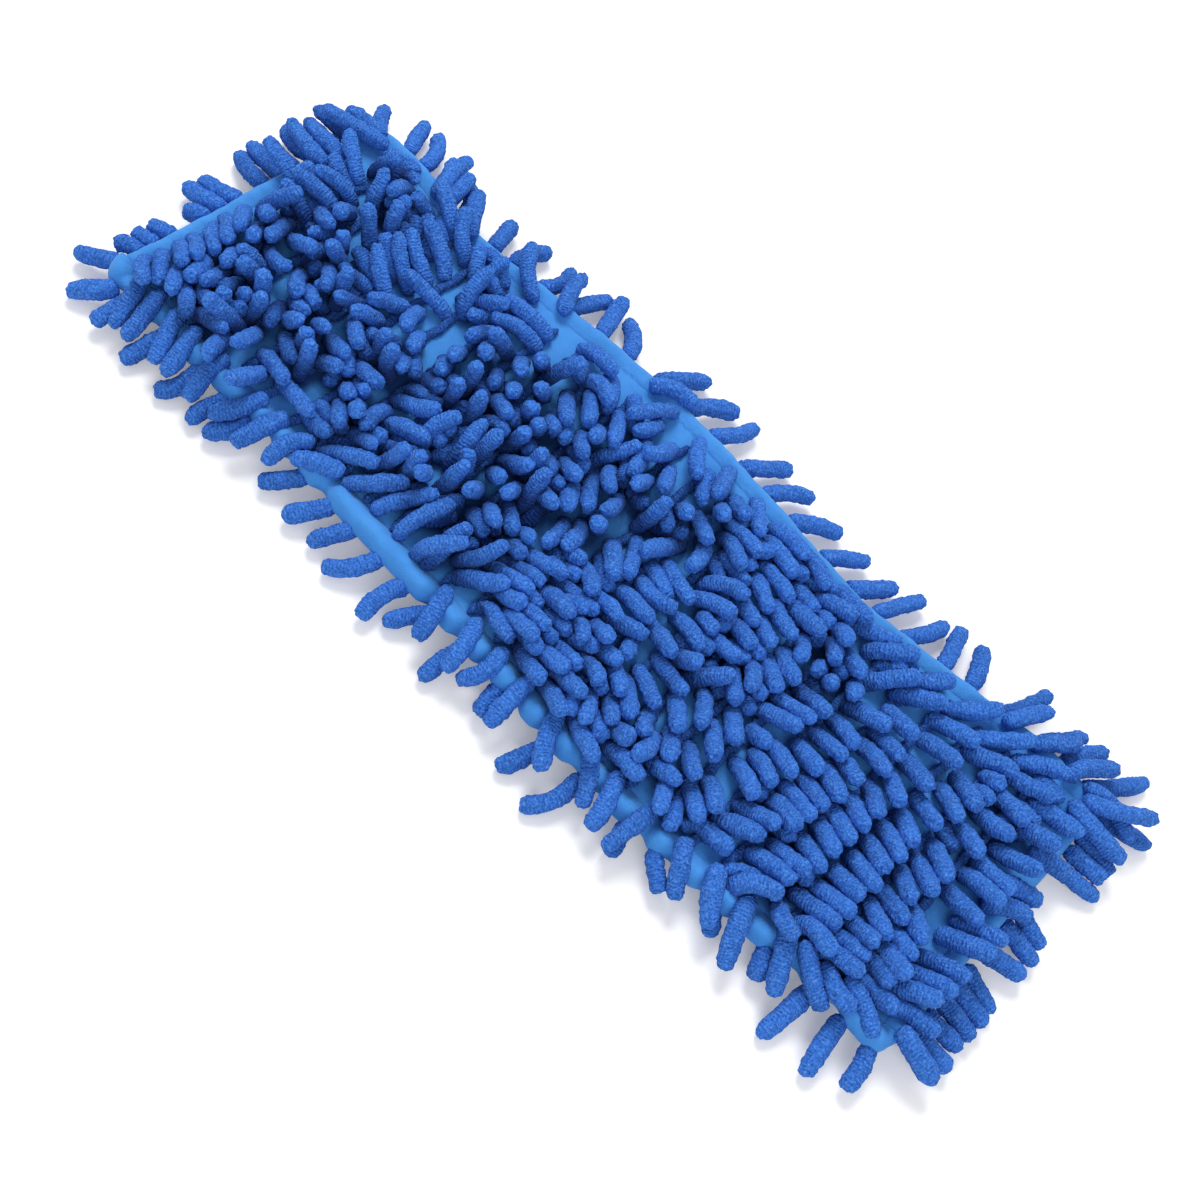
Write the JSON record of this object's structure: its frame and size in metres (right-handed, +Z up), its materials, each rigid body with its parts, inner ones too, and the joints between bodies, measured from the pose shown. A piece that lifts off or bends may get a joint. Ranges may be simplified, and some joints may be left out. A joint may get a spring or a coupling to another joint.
{
  "type": "flat mop refill",
  "caption": "Rectangular flat mop refill with a chenille strand pile, a fringed edge and two pockets on its back for the mop's frame.",
  "frame": {"origin": "centre of the refill's outline, on the floor that it lies on", "axes": "+X along the refill, the way the flat strands of its combed end point; +Y across it; +Z up, out of the pile"},
  "size_m": [0.5034, 0.2034, 0.0386],
  "materials": {
    "chenille": "royal blue microfibre chenille, short dense velvet fibres in fine rings, matt with a soft sheen",
    "pad_cloth": "azure knitted polyester cloth, fine weave, matt",
    "edge_tape": "azure knitted binding tape, sewn in bulging stitches, matt",
    "pocket_cloth": "azure woven polyester cloth, plain weave, matt",
    "wadding": "white needled polyester wadding"
  },
  "bodies": {
    "root": {"backing_cloth": "pad_cloth", "chenille_row_01": "chenille", "chenille_row_02": "chenille", "chenille_row_03": "chenille", "chenille_row_04": "chenille", "chenille_row_05": "chenille", "chenille_row_06": "chenille", "chenille_row_07": "chenille", "chenille_row_08": "chenille", "chenille_row_09": "chenille", "chenille_row_10": "chenille", "chenille_row_11": "chenille", "chenille_row_12": "chenille", "chenille_row_13": "chenille", "chenille_row_14": "chenille", "chenille_row_15": "chenille", "chenille_row_16": "chenille", "chenille_row_17": "chenille", "chenille_row_18": "chenille", "chenille_row_19": "chenille", "chenille_row_20": "chenille", "chenille_row_21": "chenille", "chenille_row_22": "chenille", "chenille_row_23": "chenille", "chenille_row_24": "chenille", "chenille_row_25": "chenille", "chenille_row_26": "chenille", "edge_tape_back": "edge_tape", "edge_tape_front": "edge_tape", "edge_tape_left": "edge_tape", "edge_tape_right": "edge_tape", "face_cloth": "pad_cloth", "fringe_lower_back": "chenille", "fringe_lower_front": "chenille", "fringe_lower_left": "chenille", "fringe_lower_right": "chenille", "fringe_upper_back": "chenille", "fringe_upper_front": "chenille", "fringe_upper_left": "chenille", "fringe_upper_right": "chenille", "pocket_hem_left": "pocket_cloth", "pocket_hem_right": "pocket_cloth", "pocket_left": "pocket_cloth", "pocket_right": "pocket_cloth", "wadding": "wadding"}
  },
  "joints": []
}
